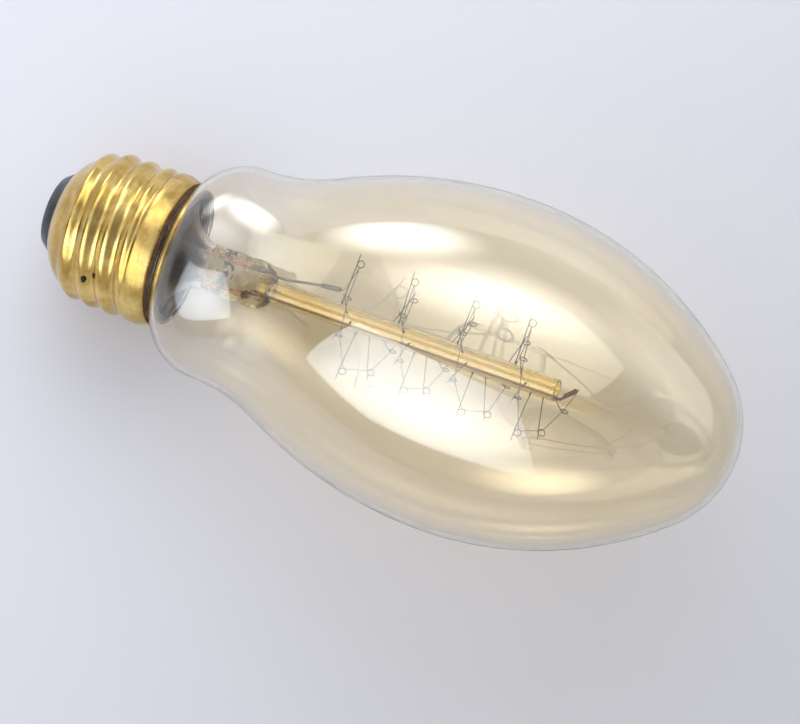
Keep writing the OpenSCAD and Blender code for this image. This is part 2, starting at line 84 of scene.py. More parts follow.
flare_arc = flare_r - stem_r
flare_rim_z = stem_z - flare_arc

# How the lamp lies: on a crest of the thread and on its belly
rest_run = belly_z - (crest_z + thread_pitch * ((180 - face_turn) / 360 - 2))
rest_drop = crest_r - back_c[0]
tilt = math.atan2(rest_run, rest_drop) - math.acos(back_arc_r / math.hypot(rest_run, rest_drop))
rest_height = back_arc_r - (belly_z * math.sin(tilt) - back_c[0] * math.cos(tilt))
tail_x = min(-solder_flat_d / 2 * math.sin(tilt), solder_h * math.cos(tilt) - contact_d / 2 * math.sin(tilt))
middle_x = (tail_x + nose_c[1] * math.cos(tilt) + nose_r) / 2
lying = (
    Matrix.Translation(Vector((-middle_x, 0, rest_height)) / 1000)
    @ Matrix.Rotation(math.radians(90) - tilt, 4, "Y")
    @ Matrix.Rotation(math.radians(180 + face_turn), 4, "Z")
    @ Matrix.Scale(0.001, 4)
)


# Shapes, all drawn about the lamp's own axis in millimetres
def arc(c, r, a0, a1, n, side=1):
    angles = [a0 + (a1 - a0) * i / n for i in range(n + 1)]
    return [(c[0] + side * r * math.cos(a), c[1] + r * math.sin(a)) for a in angles]


def degrees_arc(c, r, a0, a1, n, side=1):
    return arc(c, r, math.radians(a0), math.radians(a1), n, side)


def turned(line, steps, closed=False):
    """A line of (radius, height) points turned about the lamp's axis."""
    shape = bmesh.new()
    points = [shape.verts.new((r, 0, z)) for r, z in line]
    pairs = list(zip(points, points[1:])) + ([(points[-1], points[0])] if closed else [])
    edges = [shape.edges.new((a, b)) for a, b in pairs if a.co.x > 0 or b.co.x > 0]
    bmesh.ops.spin(shape, geom=points + edges, cent=(0, 0, 0), axis=(0, 0, 1), angle=math.tau, steps=steps,
                   use_merge=True, use_duplicate=False)
    tidy(shape)
    return shape


def tidy(shape):
    bmesh.ops.remove_doubles(shape, verts=shape.verts[:], dist=1e-4)
    bmesh.ops.dissolve_degenerate(shape, edges=shape.edges[:], dist=1e-5)
    bmesh.ops.recalc_face_normals(shape, faces=shape.faces[:])


def smooth(x):
    c = max(0.0, min(1.0, x))
    return c * c * (3 - 2 * c)


def stray(p, scale, amount):
    return amount * noise.noise(Vector(p) * scale)


def put(name, mesh, finish, nodes, crease=40):
    mesh.name = name
    mesh.polygons.foreach_set("use_smooth", [True] * len(mesh.polygons))
    mesh.set_sharp_from_angle(angle=math.radians(crease))
    mesh.materials.clear()
    mesh.materials.append(finish)
    piece = bpy.data.objects.new(name, mesh)
    bpy.context.scene.collection.objects.link(piece)
    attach(piece, "root")
    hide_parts(*nodes)
    return piece


def made(name, shape, finish, slot, *nodes, crease=40):
    """Finishes a shape drawn in the lamp's frame: it is laid down and becomes a piece of the lamp."""
    bmesh.ops.transform(shape, matrix=lying, verts=shape.verts[:])
    mesh = bpy.data.meshes.new(name)
    shape.to_mesh(mesh)
    shape.free()
    return put(name, mesh, finish, nodes, crease)


def unit(v):
    return Vector(v).normalized()


def rounded(points, times=2):
    """A line with its corners cut, so that a wire bends and doesn't kink."""
    line = [Vector(p) for p in points]
    for _ in range(times):
        cut = [line[0]]
        for a, b in zip(line, line[1:]):
            share = min(0.25, 0.6 / max((b - a).length, 1e-6))
            cut += [a.lerp(b, share), b.lerp(a, share)]
        line = cut + [line[-1]]
    return line


def drawn(name, wires, finish, slot, *nodes, sides=3):
    """Wires as (points, diameter or diameters), made a mesh."""
    curve = bpy.data.curves.new(name, "CURVE")
    curve.dimensions = "3D"
    curve.bevel_depth = 0.001
    curve.bevel_resolution = sides
    curve.use_fill_caps = True
    for points, d in wires:
        line = curve.splines.new("POLY")
        line.points.add(len(points) - 1)
        for i, p in enumerate(points):
            line.points[i].co = (*(lying @ Vector(p)), 1)
            line.points[i].radius = (d[i] if isinstance(d, list) else d) / 2
    holder = bpy.data.objects.new(name + "_line", curve)
    bpy.context.scene.collection.objects.link(holder)
    mesh = bpy.data.meshes.new_from_object(holder.evaluated_get(bpy.context.evaluated_depsgraph_get()))
    bpy.data.objects.remove(holder)
    bpy.data.curves.remove(curve)
    return put(name, mesh, finish, nodes, 60)


# Materials
class Value:
    """A socket that can be used in sums, each of which adds its Math node."""

    def __init__(self, board, socket):
        self.board, self.socket = board, socket

    def sum(self, operation, a, b):
        return self.board.add("ShaderNodeMath", {"operation": operation}, {0: a, 1: b})

    def __add__(self, other): return self.sum("ADD", self, other)
    def __radd__(self, other): return self.sum("ADD", other, self)
    def __sub__(self, other): return self.sum("SUBTRACT", self, other)
    def __rsub__(self, other): return self.sum("SUBTRACT", other, self)
    def __mul__(self, other): return self.sum("MULTIPLY", self, other)


class Board:
    """The nodes of one material or world."""

    def __init__(self, owner):
        owner.use_nodes = True
        self.tree = owner.node_tree
        self.tree.nodes.clear()

    def add(self, kind, settings=None, inputs=None, out=0):
        node = self.tree.nodes.new(kind)
        for key, value in (settings or {}).items():
            if key == "stops":
                ramp = node.color_ramp
                while len(ramp.elements) < len(value):
                    ramp.elements.new(0.5)
                for element, (place, colour) in zip(ramp.elements, value):
                    element.position, element.color = place, (*colour, 1)
            else:
                setattr(node, key, value)
        for key, value in (inputs or {}).items():
            socket = node.inputs[key]
            if isinstance(value, Value):
                self.tree.links.new(value.socket, socket)
            elif hasattr(value, "__len__") and len(value) == 3 and len(socket.default_value) == 4:
                socket.default_value = (*value, 1)
            else:
                socket.default_value = value
        return Value(self, node.outputs[out])

    def place(self):
        """Millimetres in the lamp's own frame, from the piece's place on the table."""
        turn = lying.inverted()
        return self.add("ShaderNodeMapping", None, {
            "Vector": self.add("ShaderNodeTexCoord", out="Object"),
            "Location": turn.to_translation(), "Rotation": turn.to_euler(), "Scale": (1000, 1000, 1000)})

    def stretched(self, place, along):
        return self.add("ShaderNodeVectorMath", {"operation": "MULTIPLY"}, {0: place, 1: along})

    def clouds(self, place, scale, detail=3, roughness=0.5, distortion=0.0):
        return self.add("ShaderNodeTexNoise", None, {
            "Vector": place, "Scale": scale, "Detail": detail, "Roughness": roughness, "Distortion": distortion})

    def between(self, value, low, high, to_low=0.0, to_high=1.0):
        return self.add("ShaderNodeMapRange", {"interpolation_type": "SMOOTHSTEP"}, {
            "Value": value, "From Min": low, "From Max": high, "To Min": to_low, "To Max": to_high})

    def tinted(self, share, a, b):
        return self.add("ShaderNodeMix", {"data_type": "RGBA"}, {0: share, 6: a, 7: b}, out=2)

    def height(self, place):
        return self.add("ShaderNodeSeparateXYZ", None, {"Vector": place}, out="Z")

    def bumped(self, height, strength, distance=0.0001):
        return self.add("ShaderNodeBump", None, {"Height": height, "Strength": strength, "Distance": distance})

    def surface(self, shader, output="ShaderNodeOutputMaterial"):
        node = self.tree.nodes.new(output)
        self.tree.links.new(shader.socket, node.inputs["Surface"])

    def principled(self, colour, roughness, **others):
        """The usual surface. Names of other inputs are given with _ for each space."""
        inputs = {"Base Color": colour, "Roughness": roughness}
        inputs.update({key.replace("_", " "): value for key, value in others.items()})
        return self.add("ShaderNodeBsdfPrincipled", None, inputs)


def finish(name):
    material = bpy.data.materials.new(name)
    return material, Board(material)


def metal(name, light, dark, roughness, streaks=(0.2, 0.2, 5), spread=0.1, grain=0.1, metallic=1.0, patch=0.25):
    """A bare metal: clouded colour, drawn or rolled streaks, uneven polish."""
    material, board = finish(name)
    place = board.place()
    cloud = board.clouds(place, patch, 4, 0.6)
    streak = board.clouds(board.stretched(place, streaks), 1.0, 3, 0.6)
    colour = board.tinted(board.between(cloud * 0.6 + streak * 0.4, 0.3, 0.7), dark, light)
    uneven = (cloud - 0.5) * spread + (streak - 0.5) * spread
    board.surface(board.principled(colour, roughness + uneven, Metallic=metallic, Normal=board.bumped(streak, grain)))
    return material


def glass(name, tint, thin, shade, coat=0.0, coat_ior=1.5, waves=0.02, wave_scale=0.08, clear=None, rim=None,
          edge=0.0):
    """Clear glass with waves and an uneven tint. Its shadow has the pale colour shade, as real glass casts it.

    clear and rim change the tint to a third value, the one between two heights of the lamp in millimetres, the
    other between two shares of turning away from the eye. edge is how dark the line of painted shade round the
    glass is.
    """
    material, board = finish(name)
    place = board.place()
    height = board.height(place)
    cloud = board.clouds(place, wave_scale, 2, 0.4)
    facing = board.add("ShaderNodeLayerWeight", None, {"Blend": 0.5}, out="Facing")
    colour = board.tinted(board.between(cloud, 0.3, 0.7), tint, thin)
    for measure, change in ((height, clear), (facing, rim)):
        if change:
            colour = board.tinted(board.between(measure, change[0], change[1]), colour, change[2])
    # Painted shade: towards the rim, where the glass turns away from the eye, the colour goes over to dark grey
    if edge:
        colour = board.tinted(board.between(facing, 0.84, 0.95) * edge, colour, (0.30, 0.28, 0.27))
    # The coat starts above the cap, and thins out at the rim of the picture, where the dark line of painted shade
    # lies
    coated = board.between(height, 26, 38) * board.between(facing, 0.92, 0.7) * coat
    body = board.principled(colour, 0.0, IOR=1.5, Transmission_Weight=1.0, Coat_Weight=coated, Coat_IOR=coat_ior,
                            Coat_Roughness=0.0, Normal=board.bumped(cloud, waves, 0.001))
    # Painted shade: a dark, dull surface mixed in at the very rim draws the dark line round the glass
    if edge:
        line = board.principled((0.09, 0.08, 0.09), 0.3)
        body = board.add("ShaderNodeMixShader", None, {0: board.between(facing, 0.88, 0.96) * edge, 1: body, 2: line})
    passing = board.add("ShaderNodeBsdfTransparent", None, {"Color": shade})
    shadow = board.add("ShaderNodeLightPath", out="Is Shadow Ray")
    board.surface(board.add("ShaderNodeMixShader", None, {0: shadow, 1: body, 2: passing}))
    return material


def cap_brass():
    material, board = finish("cap_brass")
    place = board.place()
    up = board.height(place)
    cloud = board.clouds(place, 0.22, 4, 0.6, 0.4)
    rolled = board.clouds(board.stretched(place, (0.25, 0.25, 9)), 1.0, 4, 0.7)
    fine = board.clouds(place, 9, 2, 0.5)
    skirt = board.between(up, thread_end_z + 0.4, thread_end_z + 1.6)
    mottled = board.between(cloud * 0.7 + rolled * 0.3, 0.35, 0.65)
    colour = board.tinted(mottled, (0.50, 0.31, 0.075), (0.80, 0.59, 0.21))
    # The domed end is duller, and tarnish gathers at the rim
    colour = board.tinted(board.between(up, lip_z + 3.6, lip_z) * 0.6, colour, (0.62, 0.46, 0.24))
    tarnish = board.between(up, rim_z - 0.9, rim_z) * board.between(board.clouds(place, 0.6, 4, 0.6), 0.3, 0.6)
    colour = board.tinted(tarnish * 0.5, colour, (0.36, 0.22, 0.07))
    polish = 0.17 + skirt * 0.1 + (cloud - 0.5) * 0.12 + (fine - 0.5) * 0.06
    dents = board.bumped(rolled * 0.6 + cloud * 1.2 + fine * 0.1, 0.18, 0.00012)
    board.surface(board.principled(colour, polish, Metallic=1.0, Normal=dents))
    return material


def baked_cement(name="cement"):
    material, board = finish(name)
    place = board.place()
    grit = board.clouds(place, 2.6, 5, 0.7)
    cloud = board.clouds(place, 0.4, 3, 0.5)
    mottled = board.between(grit * 0.5 + cloud * 0.5, 0.35, 0.65)
    colour = board.tinted(mottled, (0.05, 0.024, 0.009), (0.20, 0.105, 0.045))
    board.surface(board.principled(colour, 0.7 + grit * 0.25, Normal=board.bumped(grit, 0.7, 0.0002)))
    return material


def cap_glass():
    material, board = finish("cap_glass")
    place = board.place()
    cloud = board.clouds(place, 0.35, 4, 0.6)
    fine = board.clouds(place, 3.0, 3, 0.6)
    colour = board.tinted(board.between(cloud, 0.3, 0.7), (0.022, 0.023, 0.03), (0.06, 0.062, 0.075))
    board.surface(board.principled(colour, 0.22 + fine * 0.15, Coat_Weight=0.4, Coat_Roughness=0.1,
                                   Normal=board.bumped(cloud + fine * 0.2, 0.3, 0.0002)))
    return material


brass = cap_brass()
burnt = baked_cement("cap_inside")
cement = baked_cement()
insulator_glass = cap_glass()
# The amber tint of the envelope ends above the neck. Below the stem, the flare and the exhaust tube are tinted dark
# brown: painted shade for the dark inside of the cap
envelope_glass = glass("envelope_glass", (0.95, 0.875, 0.70), (0.975, 0.905, 0.75), (0.985, 0.965, 0.92),
                       coat=1.0, coat_ior=1.75, waves=0.05, wave_scale=0.06,
                       clear=(46, 33, (0.92, 0.875, 0.79)), edge=0.6)
stem_glass = glass("stem_glass", (0.95, 0.93, 0.88), (0.97, 0.955, 0.91), (0.95, 0.94, 0.92),
                   waves=0.1, wave_scale=0.3, clear=(30.5, 27, (0.26, 0.19, 0.12)))
press_glass = glass("press_glass", (0.62, 0.54, 0.32), (0.88, 0.82, 0.60), (0.85, 0.80, 0.66),
                    waves=0.8, wave_scale=0.6)
tube_glass = glass("tube_glass", (1.0, 0.80, 0.29), (1.0, 0.87, 0.41), (1.0, 0.88, 0.51), coat=1.0, coat_ior=2.0,
                   waves=0.04, wave_scale=0.3, rim=(0.7, 1.0, (0.6, 0.38, 0.12)))
contact_brass = metal("contact_brass", (0.80, 0.64, 0.36), (0.60, 0.45, 0.22), 0.3, (1, 1, 1))
solder = metal("solder", (0.66, 0.66, 0.65), (0.42, 0.42, 0.42), 0.38, (1.5, 1.5, 1.5), 0.25, 0.3, patch=0.9)
weld = metal("weld", (0.03, 0.022, 0.016), (0.008, 0.006, 0.005), 0.55, (3, 3, 3), 0.3, 0.5, 0.5, 2.5)
copper = metal("copper", (0.80, 0.45, 0.30), (0.55, 0.25, 0.14), 0.3, (3, 3, 0.6), 0.15)
seal_copper = metal("seal_copper", (0.66, 0.38, 0.24), (0.36, 0.17, 0.09), 0.35, (3, 3, 0.6), 0.2)
lead_nickel = metal("lead_nickel", (0.26, 0.24, 0.22), (0.10, 0.085, 0.075), 0.38, (6, 6, 0.8), 0.2, 0.2, 0.9)
far_nickel = metal("far_lead_nickel", (0.20, 0.10, 0.07), (0.06, 0.025, 0.018), 0.42, (6, 6, 0.8), 0.2, 0.2, 0.8, 0.8)
clamp_nickel = metal("clamp_nickel", (0.22, 0.21, 0.20), (0.08, 0.075, 0.07), 0.45, (4, 4, 1.5), 0.25, 0.4, 0.85, 1.2)
support_wire = metal("support_wire", (0.10, 0.09, 0.08), (0.035, 0.03, 0.027), 0.42, (8, 8, 8), 0.2, 0.2, 0.85, 1.0)
filament_carbon = metal("filament_carbon", (0.10, 0.09, 0.085), (0.04, 0.036, 0.033), 0.5, (9, 9, 9), 0.2, 0.2, 0.6,
                        2.0)


# Glass envelope
def glass_line(wall):
    """The outline of the glass from the neck to the tip, the wall's depth inside its outer face."""
    end_a = math.acos((seal_r - shoulder_c[0] - wall) / (shoulder_r - wall))
    return (
        [(seal_r - wall, seal_end_z)]
        + arc(shoulder_c, shoulder_r - wall, -end_a, 0, 20)
        + arc(waist_c, waist_r + wall, 0, waist_angle, 20, -1)[1:]
        + arc(back_c, back_arc_r - wall, -waist_angle, 0, 30)[1:]
        + arc(front_c, front_arc_r - wall, 0, nose_angle, 36)[1:]
        + arc(nose_c, nose_r - wall, nose_angle, math.pi / 2, 26)[1:]
    )


envelope_line = [(0 if r < 1e-6 else r, z) for r, z in glass_line(0) + glass_line(glass_wall)[::-1]]
made("glass_envelope_blown", turned(envelope_line, 176, closed=True), envelope_glass, "envelope_glass",
     "glass_envelope", crease=60)


# Screw cap
def thread_gain(z, a):
    """How far the rolled thread stands out of the root: it rises out of the dome and runs into the skirt."""
    rise = smooth((z - fade_from_z) / fade_len)
    full = smooth((z - thread_end_z) / (skirt_z - thread_end_z))
    wave = 0.5 + 0.5 * math.cos(math.tau * (z - crest_z) / thread_pitch - a)
    return 0 if z > skirt_z + 0.1 else thread_depth * (rise * wave * (1 - full) + full)


def rolled_shell():
    dome = arc(dome_c, lip_r, -dome_turn, 0, 40)
    rows_per_turn = 22
    rows = int((skirt_z - dome_z) / thread_pitch * rows_per_turn)
    body = [(root_r, dome_z + (skirt_z - dome_z) * i / rows) for i in range(1, rows + 1)]
    skirt = [(crest_r, skirt_z + 0.4), (crest_r - 0.01, skirt_z + 1), (rim_r, rim_z - 0.3), (rim_r - 0.1, rim_z)]
    shape = turned(dome + body + skirt, 144)
    for v in shape.verts:
        a = math.atan2(v.co.y, v.co.x)
        gain = thread_gain(v.co.z, a)
        v.co.x += gain * math.cos(a)
        v.co.y += gain * math.sin(a)
    bmesh.ops.recalc_face_normals(shape, faces=shape.faces[:])
    return shape


shell = made("screw_shell_rolled", rolled_shell(), brass, "cap_brass", "screw_shell", crease=50)
wall = shell.modifiers.new("sheet", "SOLIDIFY")
wall.thickness, wall.offset, wall.use_even_offset = shell_wall / 1000, -1, True
# Inside, the sheet is brown with burnt cement
shell.data.materials.append(burnt)
wall.material_offset = 1


# The insulator and the contact plate leave room for the centre lead
centre_hole_r = 0.3


def insulator():
    end_r, top_turn = insulator_end_d / 2, math.asin((dome_z - insulator_top_z) / lip_r)
    seat = arc(dome_c, lip_r - shell_wall - 3 * cement_gap, -dome_turn, -top_turn, 16)
    round_r, hollow_z = 0.6, insulator_top_z - 1.6
    line = [(centre_hole_r, insulator_end_z), (end_r - round_r, insulator_end_z)]
    line += degrees_arc((end_r - round_r, insulator_end_z + round_r), round_r, -80, -20, 6)
    line += [(seat[0][0], lip_z - 0.3)] + seat
    line += [(7, insulator_top_z), (4, hollow_z), (centre_hole_r, hollow_z)]
    return turned(line, 96, closed=True)


made("cap_insulator_moulded", insulator(), insulator_glass, "cap_glass", "cap_insulator", crease=50)

plate_round_r = 0.3
contact_line = [(centre_hole_r, solder_h), (contact_d / 2 - plate_round_r - 0.05, solder_h)]
contact_line += degrees_arc((contact_d / 2 - plate_round_r, solder_h + plate_round_r), plate_round_r, -80, 0, 6)
contact_line += [(contact_d / 2, insulator_end_z), (centre_hole_r, insulator_end_z)]
made("centre_contact_plate", turned(contact_line, 72, closed=True), contact_brass, "contact_brass", "centre_contact")

flat_r = solder_flat_d / 2
centre_z = ((solder_d / 2) ** 2 + solder_h ** 2 - flat_r ** 2) / (2 * solder_h)
ball_r = math.hypot(flat_r, centre_z)
foot_turn, crown_turn = math.asin((solder_h - centre_z) / ball_r), math.acos(min(1, flat_r / ball_r))
dome = turned([(0, solder_h)] + arc((0, centre_z), ball_r, foot_turn, -crown_turn, 12) + [(0, 0)], 40)
for v in dome.verts:
    if 0.02 < v.co.z < solder_h - 0.05:
        v.co *= 1 + stray(v.co, 0.9, 0.03)
made("centre_solder_dome", dome, solder, "solder", "centre_solder", crease=70)

# Side weld: a burnt bead on the slope of the thread
weld_z = crest_z + thread_pitch * weld_angle / 360 + weld_rise
weld_turn = math.tau * weld_rise / thread_pitch
weld_r = root_r + thread_depth * (0.5 + 0.5 * math.cos(weld_turn))
weld_slope = math.atan(thread_depth * math.pi / thread_pitch * math.sin(weld_turn))
bead_rise, bead_foot, bead_wide, bead_high = 0.6, 0.05, 1.6 * weld_d, 1.15 * weld_d
bead = bmesh.new()
bmesh.ops.create_icosphere(bead, subdivisions=4, radius=0.5)
for v in bead.verts:
    v.co = v.co * (1 + stray(v.co, 3.1, 0.25))
    v.co.x *= bead_rise if v.co.x > 0 else bead_foot
    v.co.y *= bead_wide
    v.co.z *= bead_high
bmesh.ops.rotate(bead, cent=(0, 0, 0), matrix=Matrix.Rotation(-weld_slope, 3, "Y"), verts=bead.verts[:])
bmesh.ops.translate(bead, vec=(weld_r + 0.04, 0, weld_z), verts=bead.verts[:])
bmesh.ops.rotate(bead, cent=(0, 0, 0), matrix=Matrix.Rotation(math.radians(weld_angle), 3, "Z"),
                 verts=bead.verts[:])
made("side_weld_bead", bead, weld, "weld", "side_weld")


def cement_ring():
    low_z, outer, inner = skirt_z + 0.6, rim_r - shell_wall - 0.1, seal_r + cement_gap
    line = [(inner, low_z + 0.6), (outer, low_z), (outer, rim_z - 0.3), (outer - 0.05, rim_z + 0.1)]
    line += [(outer - 0.2, rim_z + 0.3), (inner + 0.2, rim_z + 0.5), (inner, rim_z + 0.45)]
    shape = turned(line, 160, closed=True)
    for v in shape.verts:
        if v.co.z > rim_z - 0.3:
            v.co.z += stray(v.co, 0.8, 0.1) - 0.02
    return shape


made("basing_cement_ring", cement_ring(), cement, "cement", "basing_cement", crease=60)

# Stem
trumpet = degrees_arc((flare_r, stem_z), flare_arc, 0, -90, 28, -1)
trumpet += degrees_arc((flare_r, stem_z), flare_arc + stem_wall, -90, 0, 28, -1)
made("stem_flare_spun", turned(trumpet, 128, closed=True), stem_glass, "stem_glass", "stem_flare")


def pinched_press():
    """The round stem pinched flat between jaws, with the exhaust mouth blown out on its face."""
    round_end, mouth_z = 3, stem_z + 4 - exhaust_bore / 2
    side = [(stem_r, stem_z + (press_end_z - round_end - stem_z) * i / 36) for i in range(37)]
    top = degrees_arc((stem_r - round_end, press_end_z - round_end), round_end, 0, 90, 14)[1:]
    line = [(0, stem_z), (1.4, stem_z), (2.8, stem_z)] + side + top + [(0, press_end_z)]
    shape = turned(line, 96)
    long_edges = [e for e in shape.edges if e.calc_length() > 0.6]
    bmesh.ops.subdivide_edges(shape, edges=long_edges, cuts=1, use_grid_fill=True)
    for v in shape.verts:
        x, y, z = v.co
        pinch = smooth((z - stem_z) / 3.4)
        flat = press_t / 2 * (1 - 0.12 * smooth((z - press_end_z + 3) / 3))
        squeezed = math.copysign(min(abs(x) * (0.55 + 0.25 * (1 - pinch)), flat), x)
        v.co.x = x * (1 - pinch) + squeezed * pinch
        # The swell round the tube's foot, and uneven jaw marks
        swell = math.exp(-((y - arbor_shift) / 2.2) ** 2) * smooth((z - arbor_seat_z + 2.7) / 2.5)
        swell *= 1 - 0.5 * smooth(z - press_end_z + 1)
        v.co.x += math.copysign(0.34 * swell, x) * (abs(x) > 0.3)
        v.co.x += stray((x, y, z), 0.55, 0.22) * pinch
        v.co.y += stray((y, z, x), 0.5, 0.18) * pinch
        # The mouth: a raised ring round a hollow
        if x > 0:
            away = math.hypot(y, z - mouth_z)
            v.co.x += 0.55 * math.exp(-((away - 1.25) / 0.35) ** 2) - 1.3 * smooth((1.05 - away) / 0.6)
    bmesh.ops.smooth_vert(shape, verts=shape.verts[:], factor=0.4, use_axis_x=True, use_axis_y=True, use_axis_z=True)
    bmesh.ops.recalc_face_normals(shape, faces=shape.faces[:])
    return shape


made("stem_press_pinched", pinched_press(), press_glass, "press_glass", "stem_press", crease=80)

tip_c, exhaust_end_z = exhaust_tip_z + exhaust_d / 2, stem_z - 0.05
exhaust = [(exhaust_bore / 2, exhaust_end_z)] + degrees_arc((0, tip_c + 0.6), exhaust_bore / 2, 0, -90, 8)
exhaust += degrees_arc((0, tip_c), exhaust_d / 2, -90, 0, 10) + [(exhaust_d / 2, exhaust_end_z)]
made("exhaust_tube_sealed", turned(exhaust, 40, closed=True), stem_glass, "stem_glass", "exhaust_tube")


def on_arbor(p):
    h = p[2] - arbor_seat_z
    return Vector((p[0], arbor_shift + p[1] * math.cos(arbor_lean) - h * math.sin(arbor_lean),
                   arbor_seat_z + p[1] * math.sin(arbor_lean) + h * math.cos(arbor_lean)))


bore_r, melted = arbor_bore / 2, 0.12
tube_line = [(bore_r, arbor_seat_z), (bore_r, arbor_end_z - melted), (bore_r + melted, arbor_end_z),
             (arbor_r - melted, arbor_end_z), (arbor_r, arbor_end_z - melted), (arbor_r, arbor_seat_z)]
tube = turned(tube_line, 64, closed=True)
end_edges = [e for e in tube.edges if all(v.co.z > arbor_end_z - 1e-3 for v in e.verts)]
bmesh.ops.bevel(tube, geom=end_edges, offset=0.04, offset_type="OFFSET", segments=2, profile=0.5, affect="EDGES",
                material=-1)
for v in tube.verts:
    v.co = on_arbor(v.co)
made("arbor_tube_drawn", tube, tube_glass, "tube_glass", "arbor_tube")

# Leads
near_clamp_from = Vector((0, near_lead_y - 1.3, press_end_z + near_lead_rise))
near_clamp_way = unit((0, -0.4, 3.3))
lead_in_bore = (arbor_bore - lead_d) / 2 - 0.05
seal_from_z, seal_to_z = stem_z + 3, arbor_seat_z - 2.4
far_clamp_from = on_arbor((0, 0.4, arbor_end_z + 1.6))
far_clamp_way = unit((0, -1.64, 1.6))
near_path = [(0, near_lead_y, seal_to_z), (0, near_lead_y, press_end_z + 0.5), near_clamp_from,
             near_clamp_from + near_clamp_way * 0.6]
far_path = [(0, far_lead_y, seal_to_z), (0, far_lead_y, seal_to_z + lead_d)]
far_path += [on_arbor((0, lead_in_bore + aside, z)) for aside, z in (
    (0, arbor_seat_z - 0.7), (0, arbor_seat_z + 2), (0, arbor_end_z), (0.2, arbor_end_z + 0.5),
    (0, arbor_end_z + 1.1))]
far_path += [far_clamp_from, far_clamp_from + far_clamp_way * 0.5]
drawn("near_lead_drawn", [(rounded(near_path), lead_d)], lead_nickel, "lead_nickel", "near_lead", sides=4)
drawn("far_lead_drawn", [(rounded(far_path), lead_d)], far_nickel, "lead_nickel", "far_lead", sides=4)
for name, y in (("side_seal_wire", far_lead_y), ("centre_seal_wire", near_lead_y)):
    path = [(0, y, seal_from_z), (0, y, (seal_from_z + seal_to_z) / 2), (0, y, seal_to_z)]
    drawn(name + "_sheathed", [(path, seal_wire_d)], seal_copper, "seal_copper", name, sides=4)
weld_reach = weld_r - shell_wall / math.cos(weld_slope) - outer_lead_d - 0.1
weld_side = Vector((math.cos(math.radians(weld_angle)), math.sin(math.radians(weld_angle)), 0))
inside_r = root_r - shell_wall - outer_lead_d - 0.5
beside = -(exhaust_d + outer_lead_d) / 2 - 0.8
side_path = [(0, far_lead_y, seal_from_z), (0, far_lead_y, flare_rim_z + 2), (0, far_lead_y + 1, flare_rim_z - 1.5),
             (inside_r * 0.15, inside_r * 0.55, seal_end_z - 2.5)]
side_path += [reach * weld_side + Vector((0, 0, z)) for reach, z in (
    (inside_r * 0.92, weld_z + 4), (inside_r, weld_z + 1.2), (weld_reach, weld_z))]
centre_path = [(0, near_lead_y, seal_from_z), (0, near_lead_y, flare_rim_z + 2), (0, beside, flare_rim_z - 2),
               (0, beside, exhaust_tip_z + 2), (0, beside / 2, exhaust_tip_z - 2), (0, 0, insulator_top_z + 0.4),
               (0, 0, solder_h + 0.02)]
for name, path in (("side_outer_lead", side_path), ("centre_outer_lead", centre_path)):
    drawn(name + "_drawn", [(rounded(path), outer_lead_d)], copper, "copper", name, sides=4)


def crimped(start, way, length):
    """A sleeve crimped flat over a lead, with two bites of the pliers."""
    r, burr = clamp_d / 2, 0.12
    line = [(0, -r * 0.9), (r * 0.7, -r * 0.75), (r, -r * 0.2)] + [(r, length * i / 14) for i in range(14)]
    line += [(r, length - burr), (r - burr, length), (0.1, length), (0, length - 0.1)]
    shape = turned(line, 24)
    for v in shape.verts:
        t = v.co.z / length
        bite = math.exp(-((t - 0.35) / 0.09) ** 2) + math.exp(-((t - 0.72) / 0.09) ** 2)
        v.co.x *= 1 - 0.22 * smooth(t * 4) - 0.25 * bite
        v.co.y *= 1 + 0.02 * bite
    turn = Vector((0, 0, 1)).rotation_difference(way).to_matrix().to_4x4()
    bmesh.ops.transform(shape, matrix=Matrix.Translation(start) @ turn, verts=shape.verts[:])
    return shape


made("near_clamp_crimped", crimped(near_clamp_from, near_clamp_way, near_clamp_len), clamp_nickel, "clamp_nickel",
     "near_clamp")
made("far_clamp_crimped", crimped(far_clamp_from, far_clamp_way, far_clamp_len), far_nickel, "clamp_nickel",
     "far_clamp")

# Support wires, each with its root bead and pigtail loop, and the filament through the loops
turn_angles = [-80, -20, 25, 68, 128, 165, 222]
per_turn = len(turn_angles)
loop_r, loop_pitch = loop_inner_r + support_d / 2, support_d * 1.15
bend_reach = (support_d + filament_d) / 2 / math.cos(math.radians(30)) + wire_gap * 2


def sine(degrees):
    return math.sin(math.radians(degrees))


def on_support(i, along, rise, across):
    """A place on support wire i: along it from the tube's axis, above it and beside it."""
    plain = turn_angles[i % per_turn] + 360 * (i // per_turn)
    a = math.radians(plain + hand_scatter * sine(137 * i))
    lean = math.radians(support_lean + hand_scatter * sine(83 * i + 40))
    height = first_support_z + turn_rise * (plain - turn_angles[0]) / 360
    out = along * math.cos(lean) - rise * math.sin(lean)
    up = along * math.sin(lean) + rise * math.cos(lean)
    x, y = out * math.cos(a) - across * math.sin(a), out * math.sin(a) + across * math.cos(a)
    return on_arbor((x, y, height + up))


def pigtail(i):
    """The line of one support wire and its width along it."""
    steps = 28
    points = [on_support(i, arbor_r + h, 0, -loop_pitch / 2) for h in (root_gap, 0.18, 0.42, 0.7, 3.5)]
    widths = [bead_d * 0.8, bead_d, bead_d * 0.8, support_d * 1.05, support_d]
    for k in range(steps + 1):
        a = math.tau * k / steps
        points.append(on_support(i, loop_reach + loop_r * math.sin(a), loop_r * (1 - math.cos(a)),
                                 loop_pitch * (k / steps - 0.5)))
    points += [on_support(i, loop_reach + tail_len * 0.6, 0.02, loop_pitch / 2),
               on_support(i, loop_reach + tail_len, 0, loop_pitch / 2)]
    # Drawn a little finer than in the solid, so that the wires look as fine as the photo's
    return points, [w * wire_share for w in widths + [support_d] * (steps + 2) + [support_d * 0.9]]


for turn in range(4):
    wires = [pigtail(i) for i in range(support_count) if (i + 1) // per_turn == turn]
    node = f"support_wires_turn_{turn + 1}"
    drawn(node + "_bent", wires, support_wire, "support_wire", node)

